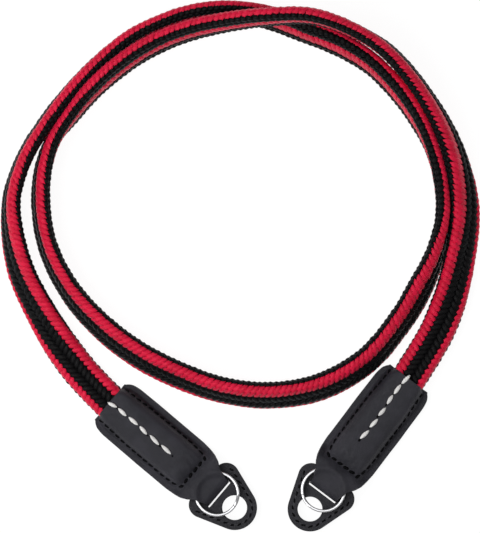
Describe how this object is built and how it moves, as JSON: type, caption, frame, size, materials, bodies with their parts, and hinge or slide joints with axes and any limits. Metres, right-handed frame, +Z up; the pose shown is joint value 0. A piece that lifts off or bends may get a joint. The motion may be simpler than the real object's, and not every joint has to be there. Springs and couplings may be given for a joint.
{
  "type": "coiled camera strap",
  "caption": "Neck strap of flat braided cord laid in a loose coil, with a stitched leather tab, a split ring and a leather guard at each end.",
  "frame": {"origin": "on the surface that the strap lies on, under the middle of the box round the leather and metal pieces of both ends", "axes": "+Z up from the surface, +X from the left end to the right end, +Y from the ends towards the far side of the coil"},
  "size_m": [0.1763, 0.1951, 0.0253],
  "materials": {
    "braid": "silky red and black braid",
    "tab_leather": "soft satin with fine grain",
    "guard_leather": "matt with fine grain",
    "ring_steel": "bright nickel plate"
  },
  "bodies": {
    "root": {"braided_cord": "braid", "left_leather_tab": "tab_leather", "left_leather_guard": "guard_leather", "left_split_ring": "ring_steel", "right_leather_tab": "tab_leather", "right_leather_guard": "guard_leather", "right_split_ring": "ring_steel"}
  },
  "joints": []
}
